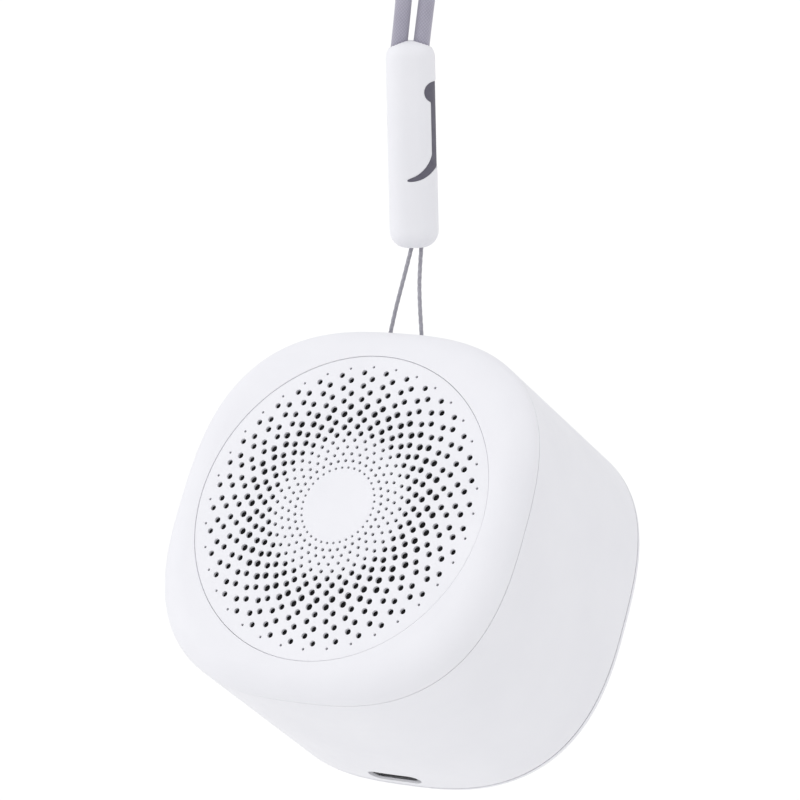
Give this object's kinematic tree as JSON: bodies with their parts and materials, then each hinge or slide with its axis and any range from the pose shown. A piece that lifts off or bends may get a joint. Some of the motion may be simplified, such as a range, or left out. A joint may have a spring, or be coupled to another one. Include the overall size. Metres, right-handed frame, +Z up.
{
  "type": "hanging mini speaker",
  "caption": "Rounded-square battery speaker with a round perforated grille, rear buttons and USB-C socket, hung tilted back from a short wrist strap.",
  "frame": {"origin": "underside of the top of the wrist loop, where the hook or hand holds it", "axes": "+Z up along the hanging strap, the speaker's width along X, its grille facing -Y and tilted up by 30.5 degrees"},
  "size_m": [0.0656, 0.0697, 0.2181],
  "materials": {
    "casing_white": "satin",
    "grille_white": "satin",
    "mesh_black": "matte",
    "seam_rubber": "matte",
    "pad_rubber": "matte",
    "button_rubber": "matte",
    "strap_fabric": "matte",
    "string_fabric": "matte",
    "core_rubber": "matte",
    "black_rubber": "matte",
    "cone_paper": "matte",
    "spider_cloth": "matte",
    "basket_alloy": "satin",
    "former_foil": "satin",
    "coil_copper": "satin",
    "magnet_iron": "matte",
    "plated_iron": "satin",
    "screw_steel": "satin",
    "inner_plastic": "matte",
    "lead_sleeve": "satin",
    "battery_foil": "satin",
    "board_green": "satin",
    "module_can": "satin",
    "chip_black": "satin",
    "socket_plastic": "matte",
    "socket_steel": "satin",
    "tongue_plastic": "satin",
    "clear_plastic": "gloss"
  },
  "bodies": {
    "strap": {"wrist_cord": "strap_fabric", "connector_shell": "casing_white", "connector_core": "core_rubber", "string_left": "string_fabric", "string_right": "string_fabric"},
    "speaker": {"amplifier_chip": "chip_black", "battery_cell": "battery_foil", "battery_foam": "black_rubber", "battery_leads": "lead_sleeve", "battery_plug": "socket_plastic", "battery_strap": "inner_plastic", "bezel_seal": "seam_rubber", "bluetooth_module": "module_can", "board_parts": "chip_black", "board_screws": "screw_steel", "chamber_plate": "inner_plastic", "driver_basket": "basket_alloy", "driver_gasket": "black_rubber", "driver_leads": "lead_sleeve", "driver_magnet": "magnet_iron", "driver_screws": "screw_steel", "driver_spider": "spider_cloth", "driver_surround": "black_rubber", "front_bezel": "casing_white", "grille": "grille_white", "grille_mesh": "mesh_black", "lead_grommet": "black_rubber", "light_pipe": "clear_plastic", "magnet_yoke": "plated_iron", "main_board": "board_green", "main_housing": "casing_white", "microphone": "module_can", "microphone_gasket": "black_rubber", "plate_gasket": "black_rubber", "plate_screws": "screw_steel", "rear_cover": "casing_white", "rear_pad": "pad_rubber", "rear_screws": "screw_steel", "rear_seal": "seam_rubber", "status_led": "clear_plastic", "string_bight": "string_fabric", "tact_switches": "socket_plastic", "terminal_tab": "inner_plastic", "top_plate": "plated_iron", "usb_gasket": "black_rubber", "usb_shell": "socket_steel", "usb_tongue": "tongue_plastic"},
    "cone": {"driver_cone": "cone_paper", "dust_cap": "cone_paper", "voice_coil": "coil_copper", "coil_former": "former_foil"},
    "button_minus": {"button_minus": "button_rubber"},
    "button_power": {"button_power": "button_rubber"},
    "button_plus": {"button_plus": "button_rubber"}
  },
  "joints": [
    {"name": "speaker_swing", "type": "hinge", "parent": "strap", "child": "speaker", "pos_m": [0, 0, -0.14], "axis": [1, 0, 0], "range_deg": [-35, 60]},
    {"name": "cone_travel", "type": "slide", "parent": "speaker", "child": "cone", "axis": [0, 0.8616, -0.5075], "range_m": [-0.0012, 0.0012], "stiffness_N_per_m": 1500, "deforming": ["driver_surround", "driver_spider"]},
    {"name": "press_minus", "type": "slide", "parent": "speaker", "child": "button_minus", "axis": [0, -0.8616, 0.5075], "range_m": [0, 0.0003], "stiffness_N_per_m": 4000},
    {"name": "press_power", "type": "slide", "parent": "speaker", "child": "button_power", "axis": [0, -0.8616, 0.5075], "range_m": [0, 0.0003], "stiffness_N_per_m": 4000},
    {"name": "press_plus", "type": "slide", "parent": "speaker", "child": "button_plus", "axis": [0, -0.8616, 0.5075], "range_m": [0, 0.0003], "stiffness_N_per_m": 4000}
  ]
}
